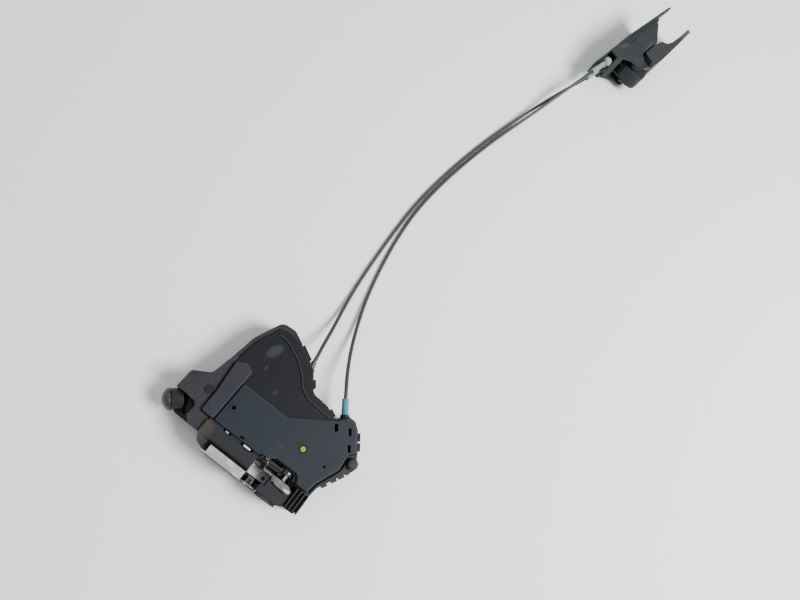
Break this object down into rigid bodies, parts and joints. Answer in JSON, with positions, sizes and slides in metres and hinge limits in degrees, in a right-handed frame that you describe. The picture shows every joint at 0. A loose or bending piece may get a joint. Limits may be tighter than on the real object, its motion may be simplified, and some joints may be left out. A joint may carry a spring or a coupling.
{
  "type": "car door lock",
  "caption": "Powered car door lock with a steel striker mouth, a moulded actuator case and thin cables to an inside door handle with its lock knob.",
  "frame": {"origin": "on the steel latch face, at the middle of the striker when the door is closed", "axes": "+X along the latch face, +Y into the door towards the handle, +Z to the cabin side"},
  "size_m": [0.2214, 0.851, 0.06],
  "materials": {
    "case_plastic": "satin",
    "cover_plastic": "satin",
    "housing_plastic": "satin, greasy",
    "plated_steel": "zinc plated",
    "dark_steel": "dark zinc",
    "rivet_steel": "bright",
    "screw_steel": "black zinc",
    "link_plastic": "satin",
    "spring_steel": "oiled",
    "fork_plastic": "satin",
    "rubber": "matt",
    "bumper_plastic": "matt",
    "white_plastic": "satin",
    "cap_plastic": "gloss",
    "teal_plastic": "satin",
    "pale_plastic": "satin",
    "green_plastic": "satin",
    "cable_plastic": "satin",
    "brass": "tinned",
    "motor_steel": "plated can",
    "handle_plastic": "grained",
    "lever_plastic": "painted",
    "knob_plastic": "satin"
  },
  "bodies": {
    "lock_body": {"rear_case": "case_plastic", "front_cover": "cover_plastic", "latch_housing": "housing_plastic", "base_plate": "plated_steel", "back_plate": "plated_steel", "fork_rivet": "rivet_steel", "pawl_rivet": "rivet_steel", "fork_spring": "spring_steel", "pawl_spring": "spring_steel", "striker_bumper": "bumper_plastic", "motor": "motor_steel", "position_switch": "case_plastic", "contact_strips": "brass", "connector_pins": "brass", "case_screws": "screw_steel", "wheel_cap": "cap_plastic", "domed_buffer": "rubber", "outside_spring": "spring_steel", "release_collar": "cable_plastic", "lock_sleeve": "teal_plastic", "release_conduit": "cable_plastic", "lock_conduit": "cable_plastic", "upper_ferrule": "pale_plastic", "lower_ferrule": "green_plastic", "handle_base": "handle_plastic", "handle_pin": "rivet_steel", "lever_spring": "spring_steel"},
    "fork": {"fork": "dark_steel", "fork_overmould": "fork_plastic"},
    "pawl": {"pawl": "dark_steel", "pawl_lift_pin": "rivet_steel"},
    "release_lever": {"release_lever": "dark_steel"},
    "open_link": {"open_link": "link_plastic"},
    "inside_lever": {"inside_lever": "dark_steel"},
    "release_wire": {"release_wire": "spring_steel"},
    "release_wire_end": {"release_wire_end": "spring_steel"},
    "handle_lever": {"handle_lever": "lever_plastic"},
    "lock_knob": {"lock_knob": "knob_plastic"},
    "lock_wire_end": {"lock_wire_end": "spring_steel"},
    "lock_wire": {"lock_wire": "spring_steel"},
    "lock_lever": {"lock_lever": "dark_steel"},
    "worm": {"worm": "brass"},
    "worm_wheel": {"worm_wheel": "white_plastic"},
    "outside_lever": {"outside_lever": "link_plastic"}
  },
  "joints": [
    {"name": "fork_turn", "type": "hinge", "parent": "lock_body", "child": "fork", "pos_m": [-0.017, 0.0055, -0.004], "axis": [0, 1, 0], "range_deg": [0, 55], "stiffness_Nm_per_rad": 0.15},
    {"name": "handle_pull", "type": "hinge", "parent": "lock_body", "child": "handle_lever", "pos_m": [0.06171, 0.73627, 0], "axis": [0, 0, -1], "range_deg": [0, 18.96], "stiffness_Nm_per_rad": 0.8},
    {"name": "release_end_slide", "type": "slide", "parent": "lock_body", "child": "release_wire_end", "axis": [0.2334, 0.9724, 0], "range_m": [0, 0.00935]},
    {"name": "release_wire_slide", "type": "slide", "parent": "lock_body", "child": "release_wire", "axis": [0.1086, 0.9941, 0], "range_m": [0, 0.00935]},
    {"name": "inside_turn", "type": "hinge", "parent": "lock_body", "child": "inside_lever", "pos_m": [-0.009, 0.048, 0], "axis": [0, 0, -1], "range_deg": [0, 22.05]},
    {"name": "link_slide", "type": "slide", "parent": "lock_body", "child": "open_link", "axis": [-1, 0, 0], "range_m": [0, 0.00567]},
    {"name": "release_turn", "type": "hinge", "parent": "lock_body", "child": "release_lever", "pos_m": [0.021, 0.0055, -0.015], "axis": [0, -1, 0], "range_deg": [0, 12]},
    {"name": "pawl_lift", "type": "hinge", "parent": "lock_body", "child": "pawl", "pos_m": [0.021, 0.0055, -0.015], "axis": [0, -1, 0], "range_deg": [0, 12]},
    {"name": "lock_knob_turn", "type": "hinge", "parent": "lock_body", "child": "lock_knob", "pos_m": [0.06171, 0.73627, 0], "axis": [0, 0, -1], "range_deg": [0, 16.26]},
    {"name": "lock_end_slide", "type": "slide", "parent": "lock_body", "child": "lock_wire_end", "axis": [0.2334, 0.9724, 0], "range_m": [0, 0.008]},
    {"name": "lock_wire_slide", "type": "slide", "parent": "lock_body", "child": "lock_wire", "axis": [-0.5643, 0.8256, 0], "range_m": [0, 0.008]},
    {"name": "lock_lever_turn", "type": "hinge", "parent": "lock_body", "child": "lock_lever", "pos_m": [0.0365, 0.0793, 0], "axis": [0, 0, 1], "range_deg": [0, 21.8]},
    {"name": "wheel_turn", "type": "hinge", "parent": "lock_body", "child": "worm_wheel", "pos_m": [0.0213, 0.0605, -0.012], "axis": [0, 0, 1], "range_deg": [-45, 45]},
    {"name": "worm_turn", "type": "hinge", "parent": "lock_body", "child": "worm", "pos_m": [0.0213, 0.0839, -0.013], "axis": [1, 0, 0], "range_deg": [-1440, 1440]},
    {"name": "outside_lever_turn", "type": "hinge", "parent": "lock_body", "child": "outside_lever", "pos_m": [-0.099, 0.0395, 0.001], "axis": [0, 0, 1], "range_deg": [0, 14], "stiffness_Nm_per_rad": 0.1}
  ],
  "couplings": [
    {"joint": "release_end_slide", "follows": "handle_pull", "m_per_rad": 0.028258},
    {"joint": "release_wire_slide", "follows": "handle_pull", "m_per_rad": 0.028258},
    {"joint": "inside_turn", "follows": "handle_pull", "ratio": 1.1631},
    {"joint": "link_slide", "follows": "handle_pull", "m_per_rad": 0.017136},
    {"joint": "release_turn", "follows": "handle_pull", "ratio": 0.63298},
    {"joint": "pawl_lift", "follows": "handle_pull", "ratio": 0.63298},
    {"joint": "lock_end_slide", "follows": "lock_knob_turn", "m_per_rad": 0.028189},
    {"joint": "lock_wire_slide", "follows": "lock_knob_turn", "m_per_rad": 0.028189},
    {"joint": "lock_lever_turn", "follows": "lock_knob_turn", "ratio": 1.3407},
    {"joint": "worm_turn", "follows": "wheel_turn", "ratio": 32}
  ]
}
